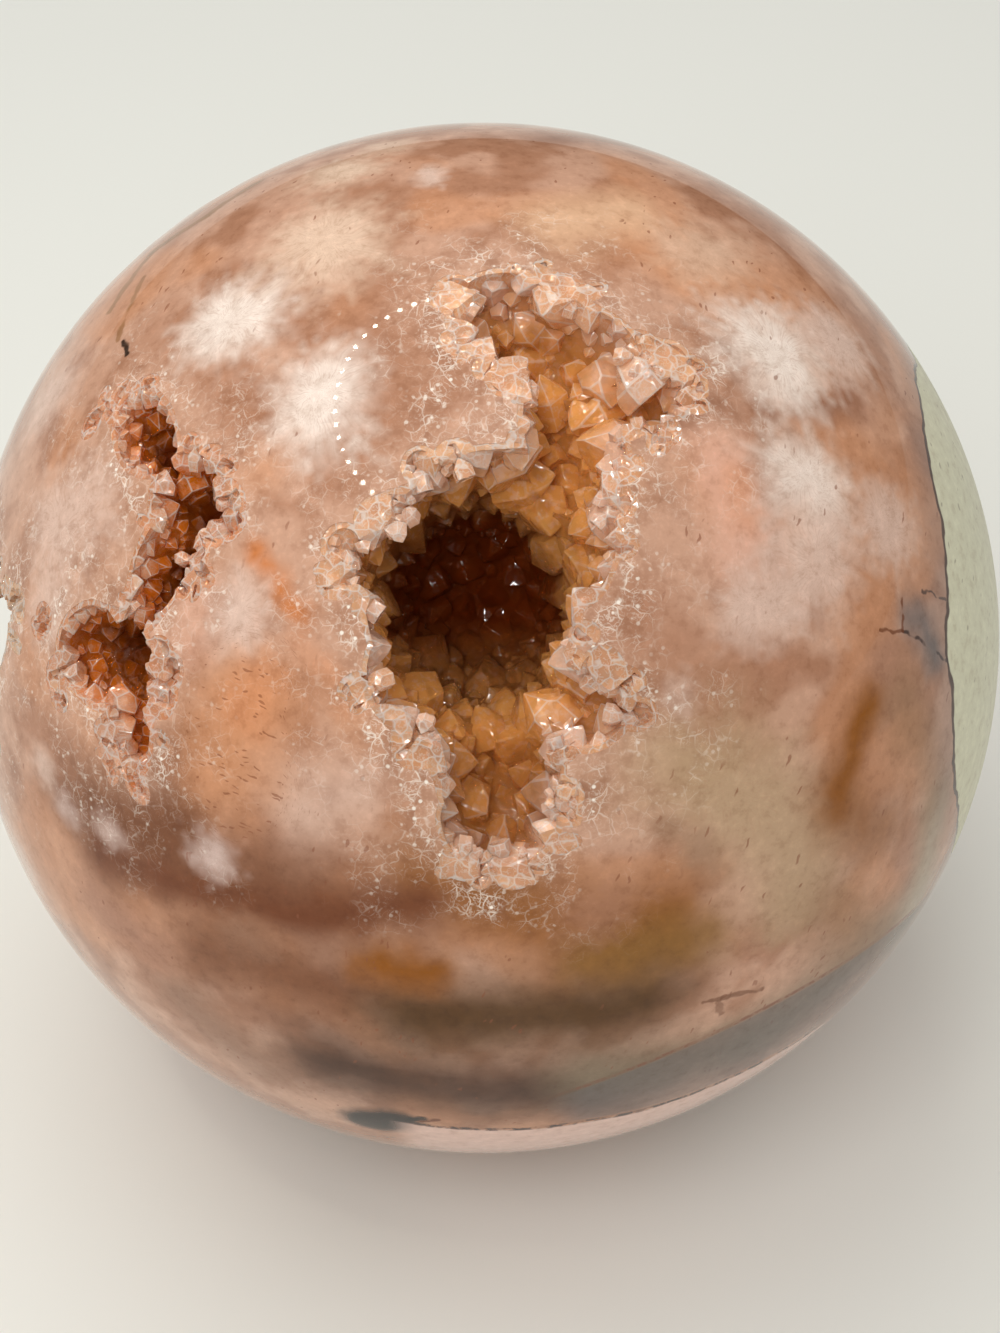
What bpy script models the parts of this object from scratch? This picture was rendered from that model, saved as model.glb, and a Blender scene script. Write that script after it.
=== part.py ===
"""A polished flower agate sphere with three natural hollows, each lined with a crust of quartz crystals.

The ball rests on a small flat at its foot, centred on the origin, with +Z up. Its show
face looks forward (-Y) and up. Places on the ball are written in millimetres as seen
square on to a face of it, and their depth follows from the ball's radius.
"""

import math
import random

import bmesh
import bpy
from mathutils import Matrix, Vector

MM = 0.001

# Driving dimensions, in millimetres and degrees
BALL_DIAMETER = 65.0
FOOT_DIAMETER = 8.0
SHOW_FACE_TILT = 40.0
CRUST_GAP = 0.3
CRUST_SKIN = 0.5

BALL_RADIUS = BALL_DIAMETER / 2
CENTRE_HEIGHT = math.sqrt(BALL_RADIUS**2 - (FOOT_DIAMETER / 2) ** 2)
CENTRE = Vector((0, 0, CENTRE_HEIGHT))

# The two faces that carry hollows: the directions that are right, up and out of each as it is seen
TILT = math.radians(SHOW_FACE_TILT)
FORWARD_UP = Vector((0, -math.cos(TILT), math.sin(TILT)))
BACKWARD_UP = Vector((0, math.sin(TILT), math.cos(TILT)))
SHOW_FACE = Matrix(((1, 0, 0), BACKWARD_UP, FORWARD_UP)).transposed()
LEFT_FACE = Matrix((FORWARD_UP, BACKWARD_UP, (-1, 0, 0))).transposed()

# A hollow is made of rounded lobes that run into one another. Each lobe, in millimetres and degrees:
# right, up, half width, half height, depth, how far its middle sinks, turn
MAIN_HOLLOW = {
    "pit": (-0.7, 2.4, 6.2, 6.8, 13.0, 4.0, 0),
    "pit_floor": (-0.9, -1.8, 5.6, 4.4, 10.0, 1.5, 0),
    "left_nook": (-5.0, 4.0, 3.0, 2.3, 5.0, 0.5, 12),
    "pit_right": (3.6, 5.2, 3.8, 4.2, 8.0, 0.0, -12),
    "overhang": (0.4, 7.6, 5.0, 2.9, 8.5, 0.4, 12),
    "neck": (4.9, 11.2, 3.1, 5.2, 7.0, 0.0, 4),
    "upper_shelf": (3.4, 16.6, 5.6, 3.0, 5.2, 0.0, -14),
    "top_notch": (1.3, 18.6, 2.7, 2.4, 3.4, 0.0, 0),
    "right_bay": (8.0, 13.2, 3.9, 2.4, 4.8, 0.0, 4),
    "trough": (0.7, -6.4, 3.7, 5.4, 7.4, 0.0, 8),
    "trough_foot": (0.7, -9.8, 3.4, 3.0, 5.0, 0.0, 0),
    "right_pocket": (5.1, -3.7, 3.1, 2.4, 3.8, 0.0, 0),
}
LEFT_HOLLOW = {
    "upper_reach": (-18.9, 11.6, 2.2, 3.7, 4.6, 0.0, 46),
    "elbow": (-16.3, 7.8, 2.6, 2.9, 5.2, 0.0, 36),
    "middle_reach": (-17.6, 4.2, 2.1, 4.4, 5.2, 0.0, -26),
    "lower_chamber": (-21.2, -0.9, 4.2, 3.0, 5.8, 0.0, -10),
    "tail": (-19.5, -3.8, 1.9, 4.0, 4.4, 0.0, -4),
}
SIDE_HOLLOW = {
    "front_room": (6.5, 0.2, 12.0, 4.9, 9.0, 0.0, 4),
    "rear_room": (-7.0, 0.4, 12.0, 4.4, 9.0, 0.0, -4),
    "lower_pocket": (9.0, -3.8, 5.0, 3.6, 4.6, 0.0, 0),
}

# How each crust's crystals grow, in millimetres: spacing, radius and reach
MAIN_CRYSTALS = {"spacing": 3.0, "radius": (1.2, 1.8), "reach": (1.5, 2.8)}
SMALL_CRYSTALS = {"spacing": 2.9, "radius": (1.0, 1.5), "reach": (1.0, 1.8)}
SIDE_CRYSTALS = {"spacing": 3.6, "radius": (1.1, 1.6), "reach": (1.2, 2.2)}
CRYSTAL_SIDES = 6
CRYSTAL_ROOT = 0.5
CRYSTAL_LEAN = 0.25
POINT_STEEPNESS = 1.1
TIP_WANDER = 0.25
GROWTH_SEED = 7

# How finely the round shapes are faceted
BALL_SEGMENTS = 36
BALL_RINGS = 18
LOBE_SUBDIVISIONS = 2
SAMPLES_PER_LOBE = 500
SMOOTH_ANGLE = math.radians(14)

AGATE_COLOUR = (0.60, 0.38, 0.27, 1.0)
CRYSTAL_COLOUR = (0.62, 0.33, 0.12, 1.0)


def clear_scene():
    for thing in list(bpy.data.objects):
        bpy.data.objects.remove(thing, do_unlink=True)


def lobe_frame(face, lobe):
    """Middle of a lobe, and the matrix whose columns are its width, height and depth axes."""
    right, up, _, _, _, sink, turn = lobe
    out = math.sqrt(BALL_RADIUS**2 - right**2 - up**2)
    outward = (face @ Vector((right, up, out))).normalized()
    across = face.col[1].cross(outward).normalized()
    axes = Matrix((across, outward.cross(across), outward)).transposed()
    axes = axes @ Matrix.Rotation(math.radians(turn), 3, "Z")
    return CENTRE + outward * (BALL_RADIUS - sink), axes


def lobe_radii(lobe, shrink):
    return Vector([size - shrink for size in lobe[2:5]])


def inside_lobe(point, face, lobe, shrink):
    middle, axes = lobe_frame(face, lobe)
    local = axes.transposed() @ (point - middle)
    return sum((c / r) ** 2 for c, r in zip(local, lobe_radii(lobe, shrink))) < 1.0


def new_object(name, fill):
    """An object whose mesh is filled in millimetres and kept in metres."""
    builder = bmesh.new()
    fill(builder)
    bmesh.ops.scale(builder, vec=(MM, MM, MM), verts=builder.verts)
    bmesh.ops.recalc_face_normals(builder, faces=builder.faces)
    mesh = bpy.data.meshes.new(name)
    builder.to_mesh(mesh)
    builder.free()
    made = bpy.data.objects.new(name, mesh)
    bpy.context.scene.collection.objects.link(made)
    return made


def add_ball(builder):
    """The ball, ground flat at its foot: its lowest ring of corners becomes the flat's edge."""
    made = bmesh.ops.create_uvsphere(
        builder, u_segments=BALL_SEGMENTS, v_segments=BALL_RINGS, radius=BALL_RADIUS
    )
    bmesh.ops.translate(builder, vec=CENTRE, verts=made["verts"])
    pole = min(made["verts"], key=lambda vertex: vertex.co.z)
    for edge in pole.link_edges:
        corner = edge.other_vert(pole)
        corner.co.z = 0
        corner.co = corner.co.normalized() * (FOOT_DIAMETER / 2)
    bmesh.ops.dissolve_verts(builder, verts=[pole])


def add_lobe(builder, face, lobe, shrink):
    middle, axes = lobe_frame(face, lobe)
    radii = lobe_radii(lobe, shrink)
    made = bmesh.ops.create_icosphere(builder, subdivisions=LOBE_SUBDIVISIONS, radius=1.0)
    for vertex in made["verts"]:
        vertex.co = middle + axes @ (radii * vertex.co)


def combine(target, other, operation, overlapping=False):
    """Applies a Boolean to the target and removes the other object, which may overlap itself."""
    modifier = target.modifiers.new("Combine", "BOOLEAN")
    modifier.operation = operation
    modifier.object = other
    modifier.use_self = overlapping
    bpy.context.view_layer.update()
    graph = bpy.context.evaluated_depsgraph_get()
    result = bpy.data.meshes.new_from_object(target.evaluated_get(graph))
    target.modifiers.clear()
    target.data = result
    bpy.data.objects.remove(other, do_unlink=True)
    return target


def connected_bodies(builder):
    """The mesh's separate bodies, each a list of vertices, the one with most vertices first."""
    unseen = set(builder.verts)
    bodies = []
    while unseen:
        queue = [unseen.pop()]
        body = list(queue)
        while queue:
            for edge in queue.pop().link_edges:
                for vertex in edge.verts:
                    if vertex in unseen:
                        unseen.discard(vertex)
                        body.append(vertex)
                        queue.append(vertex)
        bodies.append(body)
    return sorted(bodies, key=len, reverse=True)


def drop_bodies(target, unwanted):
    """Removes each separate body for which unwanted(its place in order of size, its vertices) is true."""
    builder = bmesh.new()
    builder.from_mesh(target.data)
    dropped = [body for place, body in enumerate(connected_bodies(builder)) if unwanted(place, body)]
    bmesh.ops.delete(builder, geom=[vertex for body in dropped for vertex in body], context="VERTS")
    builder.to_mesh(target.data)
    builder.free()
    return target


def is_crumb(place, body):
    return place > 0


def is_sealed(place, body):
    """Whether a space never reaches the ball's surface."""
    return all((vertex.co / MM - CENTRE).length < BALL_RADIUS for vertex in body)


def hollow_solid(name, face, lobes, shrink):
    """The space of a hollow as one closed solid, its lobes fused."""
    solid = None
    for label, lobe in lobes.items():
        part = new_object(f"{name}_{label}", lambda builder: add_lobe(builder, face, lobe, shrink))
        solid = combine(solid, part, "UNION") if solid else part
    solid.name = name
    return solid


def growth_points(face, lobes, spacing):
    """Evenly spread points on a hollow's wall, each with the direction in which a crystal grows there."""
    golden_angle = math.pi * (3 - math.sqrt(5))
    found = []
    for label, lobe in lobes.items():
        middle, axes = lobe_frame(face, lobe)
        radii = lobe_radii(lobe, CRUST_GAP)
        others = [other for name, other in lobes.items() if name != label]
        for i in range(SAMPLES_PER_LOBE):
            z = 1 - 2 * (i + 0.5) / SAMPLES_PER_LOBE
            ring = math.sqrt(1 - z * z)
            unit = Vector((ring * math.cos(golden_angle * i), ring * math.sin(golden_angle * i), z))
            place = middle + axes @ (radii * unit)
            inward = (axes @ Vector([-c / r for c, r in zip(unit, radii)])).normalized()
            if (place - CENTRE).length > BALL_RADIUS:
                continue
            if any(inside_lobe(place, face, other, CRUST_GAP) for other in others):
                continue
            if all((place - kept).length > spacing for kept, _ in found):
                found.append((place, inward))
    return found


def add_crystal(builder, place, direction, radius, reach, chance):
    """One six-sided quartz crystal with a slightly lopsided point, rooted in the wall."""
    side = direction.orthogonal().normalized()
    other_side = direction.cross(side)
    start = chance.uniform(0, math.tau)
    shoulder = max(CRYSTAL_ROOT, reach - radius * POINT_STEEPNESS)
    rings = []
    for height in (-CRYSTAL_ROOT, shoulder):
        ring = []
        for k in range(CRYSTAL_SIDES):
            angle = start + math.tau * k / CRYSTAL_SIDES
            spoke = side * math.cos(angle) + other_side * math.sin(angle)
            ring.append(builder.verts.new(place + direction * height + spoke * radius))
        rings.append(ring)
    wander = side * chance.uniform(-TIP_WANDER, TIP_WANDER)
    wander += other_side * chance.uniform(-TIP_WANDER, TIP_WANDER)
    tip = builder.verts.new(place + direction * (shoulder + radius * POINT_STEEPNESS) + wander * radius)
    root, neck = rings
    builder.faces.new(root)
    for k in range(CRYSTAL_SIDES):
        after = (k + 1) % CRYSTAL_SIDES
        builder.faces.new((root[k], root[after], neck[after], neck[k]))
        builder.faces.new((neck[k], neck[after], tip))


def crystal_cluster(name, face, lobes, habit, chance):
    """All the crystals of one hollow, each a closed body that may overlap its neighbours."""

    def fill(builder):
        for place, inward in growth_points(face, lobes, habit["spacing"]):
            lean = Vector([chance.uniform(-CRYSTAL_LEAN, CRYSTAL_LEAN) for _ in range(3)])
            radius = chance.uniform(*habit["radius"])
            reach = chance.uniform(*habit["reach"])
            add_crystal(builder, place, (inward + lean).normalized(), radius, reach, chance)

    return new_object(name, fill)


def crystal_crust(name, face, lobes, habit, chance):
    """The crust of one hollow: a skin on its wall and the crystals on it, polished off with the ball."""
    open_space = hollow_solid(f"{name}_open", face, lobes, CRUST_GAP + CRUST_SKIN)
    crystals = crystal_cluster(f"{name}_cluster", face, lobes, habit, chance)
    open_space = combine(open_space, crystals, "DIFFERENCE", overlapping=True)
    crust = hollow_solid(name, face, lobes, CRUST_GAP)
    crust = combine(crust, new_object(f"{name}_ball", add_ball), "INTERSECT")
    crust = combine(crust, drop_bodies(open_space, is_sealed), "DIFFERENCE")
    return drop_bodies(crust, is_crumb)


def dress(target, colour, roughness, transmission):
    """Gives a piece its own material, and smooth shading that keeps its true edges."""
    material = bpy.data.materials.new(f"{target.name}_finish")
    material.use_nodes = True
    shader = material.node_tree.nodes["Principled BSDF"]
    shader.inputs["Base Color"].default_value = colour
    shader.inputs["Roughness"].default_value = roughness
    shader.inputs["Metallic"].default_value = 0.0
    shader.inputs["Transmission Weight"].default_value = transmission
    target.data.materials.clear()
    target.data.materials.append(material)
    target.data.shade_smooth()
    target.data.set_sharp_from_angle(angle=SMOOTH_ANGLE)


def agate_sphere():
    stone = new_object("agate_sphere", add_ball)
    hollows = ((SHOW_FACE, MAIN_HOLLOW), (SHOW_FACE, LEFT_HOLLOW), (LEFT_FACE, SIDE_HOLLOW))
    for face, lobes in hollows:
        combine(stone, hollow_solid("hollow", face, lobes, 0.0), "DIFFERENCE")
    dress(drop_bodies(stone, is_crumb), AGATE_COLOUR, roughness=0.12, transmission=0.0)


def hollow_crusts():
    chance = random.Random(GROWTH_SEED)
    crusts = (
        ("main_hollow_crystals", SHOW_FACE, MAIN_HOLLOW, MAIN_CRYSTALS),
        ("left_hollow_crystals", SHOW_FACE, LEFT_HOLLOW, SMALL_CRYSTALS),
        ("side_hollow_crystals", LEFT_FACE, SIDE_HOLLOW, SIDE_CRYSTALS),
    )
    for name, face, lobes, habit in crusts:
        crust = crystal_crust(name, face, lobes, habit, chance)
        dress(crust, CRYSTAL_COLOUR, roughness=0.2, transmission=0.6)


clear_scene()
agate_sphere()
hollow_crusts()
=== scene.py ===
"""Looks of the flower agate sphere: polished, clouded stone with quartz-lined hollows, on a pale floor.

Lengths are millimetres until a mesh is finished. A place on the ball is given as (right, up),
seen square on to the show face, and its depth follows from the ball's radius.
"""

import math
import random

import bmesh
import bpy
import numpy as np
from mathutils import Matrix, Vector, noise


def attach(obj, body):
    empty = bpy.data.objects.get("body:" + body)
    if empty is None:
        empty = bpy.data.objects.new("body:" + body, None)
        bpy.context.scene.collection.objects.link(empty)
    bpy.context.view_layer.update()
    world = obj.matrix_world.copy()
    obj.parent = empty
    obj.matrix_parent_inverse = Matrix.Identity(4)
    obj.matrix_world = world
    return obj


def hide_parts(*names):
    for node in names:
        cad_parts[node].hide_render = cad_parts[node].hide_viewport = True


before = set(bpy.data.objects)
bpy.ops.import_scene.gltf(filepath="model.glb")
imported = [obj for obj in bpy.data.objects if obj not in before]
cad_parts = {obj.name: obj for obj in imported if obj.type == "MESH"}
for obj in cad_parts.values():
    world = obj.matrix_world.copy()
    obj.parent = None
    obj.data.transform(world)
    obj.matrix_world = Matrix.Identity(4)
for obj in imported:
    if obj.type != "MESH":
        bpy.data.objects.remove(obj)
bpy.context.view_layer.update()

MM = 0.001

# The ball and its faces, as the solids have them, in millimetres and degrees
BALL_RADIUS = 32.5
FOOT_RADIUS = 4.0
SIDE_REACH = 32.28
SHOW_FACE_TILT = 40.0
CENTRE = Vector((0, 0, math.sqrt(BALL_RADIUS**2 - FOOT_RADIUS**2)))
TILT = math.radians(SHOW_FACE_TILT)
FORWARD_UP = Vector((0, -math.cos(TILT), math.sin(TILT)))
BACKWARD_UP = Vector((0, math.sin(TILT), math.cos(TILT)))
SHOW_FACE = Matrix(((1, 0, 0), BACKWARD_UP, FORWARD_UP)).transposed()
LEFT_FACE = Matrix((FORWARD_UP, BACKWARD_UP, (-1, 0, 0))).transposed()

# The hollows' lobes: right, up, half width, half height, depth, how far the middle sinks, turn
MAIN_HOLLOW = {
    "pit": (-0.7, 2.4, 6.2, 6.8, 13.0, 4.0, 0),
    "pit_floor": (-0.9, -1.8, 5.6, 4.4, 10.0, 1.5, 0),
    "left_nook": (-5.0, 4.0, 3.0, 2.3, 5.0, 0.5, 12),
    "pit_right": (3.6, 5.2, 3.8, 4.2, 8.0, 0.0, -12),
    "overhang": (0.4, 7.6, 5.0, 2.9, 8.5, 0.4, 12),
    "neck": (4.9, 11.2, 3.1, 5.2, 7.0, 0.0, 4),
    "upper_shelf": (3.4, 16.6, 5.6, 3.0, 5.2, 0.0, -14),
    "top_notch": (1.3, 18.6, 2.7, 2.4, 3.4, 0.0, 0),
    "right_bay": (8.0, 13.2, 3.9, 2.4, 4.8, 0.0, 4),
    "trough": (0.7, -6.4, 3.7, 5.4, 7.4, 0.0, 8),
    "trough_foot": (0.7, -9.8, 3.4, 3.0, 5.0, 0.0, 0),
    "right_pocket": (5.1, -3.7, 3.1, 2.4, 3.8, 0.0, 0),
}
LEFT_HOLLOW = {
    "upper_reach": (-18.9, 11.6, 2.2, 3.7, 4.6, 0.0, 46),
    "elbow": (-16.3, 7.8, 2.6, 2.9, 5.2, 0.0, 36),
    "middle_reach": (-17.6, 4.2, 2.1, 4.4, 5.2, 0.0, -26),
    "lower_chamber": (-21.2, -0.9, 4.2, 3.0, 5.8, 0.0, -10),
    "tail": (-19.5, -3.8, 1.9, 4.0, 4.4, 0.0, -4),
}
SIDE_HOLLOW = {
    "front_room": (6.5, 0.2, 12.0, 4.9, 9.0, 0.0, 4),
    "rear_room": (-7.0, 0.4, 12.0, 4.4, 9.0, 0.0, -4),
    "lower_pocket": (9.0, -3.8, 5.0, 3.6, 4.6, 0.0, 0),
}

# Shallow chips at the upper left of the outline, given as the lobes are
CHIPS = {
    "chip_top": (-16.2, 27.6, 2.0, 1.5, 0.30, 0.0, 0),
    "chip_middle": (-19.4, 25.4, 1.3, 1.2, 0.26, 0.0, 0),
    "chip_low": (-21.9, 23.3, 1.7, 1.6, 0.28, 0.0, 0),
}

# A broken face that's no deeper than this wears the stone's own colours
CHIP_DEPTH = 0.4

# How finely the stone is made, and how the crusts sit in it
BALL_FREQUENCY = 88
LOBE_FREQUENCY = 8
WALL_WAVE = 0.30
WALL_WAVE_LENGTH = 2.4
CRUST_OVERLAP = 0.05
CRUST_RECESS = 0.02
CRUST_SKIN = 0.32
SKIN_SHARE = 0.35

# Shallow pockets of small crystals along each hollow's rim
MAIN_POCKETS = 84
LEFT_POCKETS = 46
SIDE_POCKETS = 30
POCKET_REACH = (-0.9, 0.4)
POCKET_SIZE = (0.6, 1.5)
POCKET_DEPTH = (0.7, 1.5)
POCKET_FREQUENCY = 4
POCKET_SEED = 29

# Crystals: the radii of each crust with the share of seats each is tried on, and how they stand
MAIN_SIZES = ((1.5, 0.08), (1.15, 0.22), (0.85, 0.30), (0.6, 0.25), (0.42, 0.15))
SMALL_SIZES = ((0.9, 0.08), (0.66, 0.37), (0.45, 0.35), (0.34, 0.2))
SIDE_SIZES = ((1.5, 0.12), (1.15, 0.28), (0.8, 0.35), (0.5, 0.25))
POCKET_SIZES = ((0.6, 0.3), (0.42, 0.4), (0.3, 0.3))
PACKING = 0.62
MOUTH_GAP = 0.35
CRYSTAL_LEAN = 0.42
CRYSTAL_ROOT = 1.2
CRYSTAL_SHAPES = 36
CRYSTAL_HEIGHT = (0.55, 1.25)
FACE_SLOPE = math.radians(51.8)
EDGE_BEVEL = 0.055
CANDIDATES_PER_LOBE = 1600
CANDIDATES_PER_AREA = 30
GROWTH_SEED = 11
SHARP_ANGLE = math.radians(24)

# The photograph's frame, in its pixels: its size and the ball's outline in it
PHOTO_SIZE = (1000, 1333)
PHOTO_BALL_CENTRE = (484.3, 638.7)
PHOTO_BALL_RADIUS = 515.4
CAMERA_DISTANCE = 5.5 * BALL_RADIUS
SENSOR = 36.0


def lobe_frame(face, lobe):
    """Middle of a lobe, and the matrix whose columns are its width, height and depth axes."""
    right, up, _, _, _, sink, turn = lobe
    out = math.sqrt(BALL_RADIUS**2 - right**2 - up**2)
    outward = (face @ Vector((right, up, out))).normalized()
    across = face.col[1].cross(outward).normalized()
    axes = Matrix((across, outward.cross(across), outward)).transposed()
    axes = axes @ Matrix.Rotation(math.radians(turn), 3, "Z")
    return CENTRE + outward * (BALL_RADIUS - sink), axes


def link(thing):
    bpy.context.scene.collection.objects.link(thing)
    return thing


def mesh_object(name, corners, faces):
    mesh = bpy.data.meshes.new(name)
    mesh.from_pydata([tuple(corner) for corner in corners], [], faces)
    mesh.update()
    return link(bpy.data.objects.new(name, mesh))


def combine(target, other, operation):
    """Applies a Boolean between two closed meshes to the target and removes the other object."""
    modifier = target.modifiers.new("Combine", "BOOLEAN")
    modifier.solver = "MANIFOLD"
    modifier.operation = operation
    modifier.object = other
    graph = bpy.context.evaluated_depsgraph_get()
    result = bpy.data.meshes.new_from_object(target.evaluated_get(graph))
    target.modifiers.clear()
    target.data = result
    bpy.data.objects.remove(other, do_unlink=True)
    return target


def unit_sphere(frequency):
    """Corner directions and triangles of a sphere: an icosahedron's faces, each cut into frequency squared."""
    builder = bmesh.new()
    bmesh.ops.create_icosphere(builder, subdivisions=1, radius=1.0)
    patches = [[np.array(vertex.co) for vertex in face.verts] for face in builder.faces]
    builder.free()
    steps = [(i, j) for i in range(frequency + 1) for j in range(frequency + 1 - i)]
    number = {step: k for k, step in enumerate(steps)}
    triangles = []
    for i, j in steps:
        if i + j < frequency:
            triangles.append((number[i, j], number[i + 1, j], number[i, j + 1]))
        if i + j < frequency - 1:
            triangles.append((number[i + 1, j], number[i + 1, j + 1], number[i, j + 1]))
    weights = np.array([(frequency - i - j, i, j) for i, j in steps]) / frequency
    corners = np.concatenate([weights @ np.array(patch) for patch in patches])
    corners /= np.linalg.norm(corners, axis=1, keepdims=True)
    faces = np.concatenate([np.array(triangles) + len(steps) * k for k in range(len(patches))])
    _, first, merged = np.unique(np.round(corners, 6), axis=0, return_index=True, return_inverse=True)
    return corners[first], merged.reshape(-1)[faces].tolist()


def ball_object(name, radius):
    """A fine ball, ground flat at its foot, and worn level where the side hollow opens."""
    corners, faces = unit_sphere(BALL_FREQUENCY)
    ball = mesh_object(name, corners * radius + np.array(CENTRE), faces)
    side = BALL_RADIUS * 2
    for label, move in (("ground", (0, 0, -side / 2)), ("frost_and_glint_faces", (-side / 2 - SIDE_REACH, 0, side / 2))):
        builder = bmesh.new()
        box = bmesh.ops.create_cube(builder, size=side)
        bmesh.ops.translate(builder, vec=move, verts=box["verts"])
        block = bpy.data.meshes.new(label)
        builder.to_mesh(block)
        builder.free()
        combine(ball, link(bpy.data.objects.new(label, block)), "DIFFERENCE")
    return ball


def lobe_surface(face, lobe, shrink, directions):
    """Points on a lobe's wavy wall, one for each direction from its middle, and the ways in from them."""
    middle, axes = lobe_frame(face, lobe)
    radii = np.array(lobe[2:5]) - min(shrink, SKIN_SHARE * lobe[4])
    axes = np.array(axes)
    points = np.array(middle) + (directions * radii) @ axes.T
    inward = -(directions / radii) @ axes.T
    inward /= np.linalg.norm(inward, axis=1, keepdims=True)
    waves = np.array([noise.noise(Vector(point) / WALL_WAVE_LENGTH) for point in points])
    return points + inward * (waves * WALL_WAVE)[:, None], inward


def spread_pockets(face, lobes, count, chance):
    """Small shallow pockets strewn along the rim of a hollow, dealt out so that no two in a round touch."""
    pockets = []
    while len(pockets) < count:
        right, up, half_width, half_height, _, sink, turn = chance.choice(list(lobes.values()))
        angle = chance.uniform(0, math.tau)
        past = chance.uniform(*POCKET_REACH)
        across = (half_width + past) * math.cos(angle)
        along = (half_height + past) * math.sin(angle)
        turned = math.radians(turn)
        right += across * math.cos(turned) - along * math.sin(turned)
        up += across * math.sin(turned) + along * math.cos(turned)
        size = chance.uniform(*POCKET_SIZE)
        pocket = (right, up, size, size * chance.uniform(0.45, 0.95), chance.uniform(*POCKET_DEPTH), 0.0,
                  chance.uniform(0, 180))
        if math.hypot(right, up) > BALL_RADIUS * 0.93:
            continue
        middle, _ = lobe_frame(face, pocket)
        inside = lobe_depth(np.array([middle]), face, lobes)[0]
        if inside < 0.3:
            pockets.append((middle, size + 0.3, pocket))
    rounds = []
    for middle, span, pocket in pockets:
        for dealt in rounds:
            if all((middle - other).length > span + reach for other, reach, _ in dealt):
                dealt.append((middle, span, pocket))
                break
        else:
            rounds.append([(middle, span, pocket)])
    return [[pocket for _, _, pocket in dealt] for dealt in rounds]


def hollow_solid(name, face, lobes, rounds, shrink):
    """The space of a hollow as one closed solid, its lobes and the pockets round it fused."""
    directions, faces = unit_sphere(LOBE_FREQUENCY)
    solid = None
    for label, lobe in lobes.items():
        points, _ = lobe_surface(face, lobe, shrink, directions)
        part = mesh_object(f"{name}_{label}", points, faces)
        solid = combine(solid, part, "UNION") if solid else part
    directions, faces = unit_sphere(POCKET_FREQUENCY)
    for i, dealt in enumerate(rounds):
        points = np.concatenate([lobe_surface(face, pocket, shrink, directions)[0] for pocket in dealt])
        repeats = [[corner + len(directions) * k for corner in one] for k in range(len(dealt)) for one in faces]
        combine(solid, mesh_object(f"{name}_round_{i}", points, repeats), "UNION")
    return solid


def lobe_depth(points, face, lobes):
    """How far inside a hollow each point lies, roughly: negative outside it."""
    deepest = np.full(len(points), -np.inf)
    for lobe in lobes.values():
        middle, axes = lobe_frame(face, lobe)
        radii = np.array(lobe[2:5])
        local = (points - np.array(middle)) @ np.array(axes)
        scaled = np.maximum(np.linalg.norm(local / radii, axis=1), 0.001)
        steepness = np.linalg.norm(local / radii**2, axis=1) / scaled
        deepest = np.maximum(deepest, (1 - scaled) / np.maximum(steepness, 0.001))
    return deepest


def spiral_directions(count):
    golden_angle = math.pi * (3 - math.sqrt(5))
    index = np.arange(count)
    z = 1 - 2 * (index + 0.5) / count
    ring = np.sqrt(1 - z * z)
    return np.stack((ring * np.cos(golden_angle * index), ring * np.sin(golden_angle * index), z), axis=1)


def crystal_seats(face, lobes, sizes, chance):
    """Where crystals root on a hollow's wall, biggest first: place, way in and radius of each."""
    places, inwards = [], []
    for label, lobe in lobes.items():
        wall = lobe[2] * lobe[3] + (lobe[2] + lobe[3]) * lobe[4]
        count = int(min(wall * CANDIDATES_PER_AREA, CANDIDATES_PER_LOBE))
        points, inward = lobe_surface(face, lobe, CRUST_SKIN, spiral_directions(count))
        others = {name: other for name, other in lobes.items() if name != label}
        open_wall = lobe_depth(points, face, others) < CRUST_SKIN
        near_ball = np.linalg.norm(points - np.array(CENTRE), axis=1) < BALL_RADIUS - MOUTH_GAP
        places.append(points[open_wall & near_ball])
        inwards.append(inward[open_wall & near_ball])
    places = np.concatenate(places)
    inwards = np.concatenate(inwards)
    order = list(range(len(places)))
    chance.shuffle(order)
    seats = []
    kept = np.zeros((0, 3))
    radii = np.zeros(0)
    start = 0
    for radius, share in sizes:
        end = min(len(order), start + int(len(order) * share))
        for i in order[start:end]:
            gaps = np.linalg.norm(kept - places[i], axis=1) - PACKING * (radii + radius)
            if np.all(gaps > 0):
                size = radius * chance.uniform(0.88, 1.12)
                seats.append((Vector(places[i]), Vector(inwards[i]), size))
                kept = np.vstack((kept, places[i]))
                radii = np.append(radii, size)
        start = end
    return seats


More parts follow.
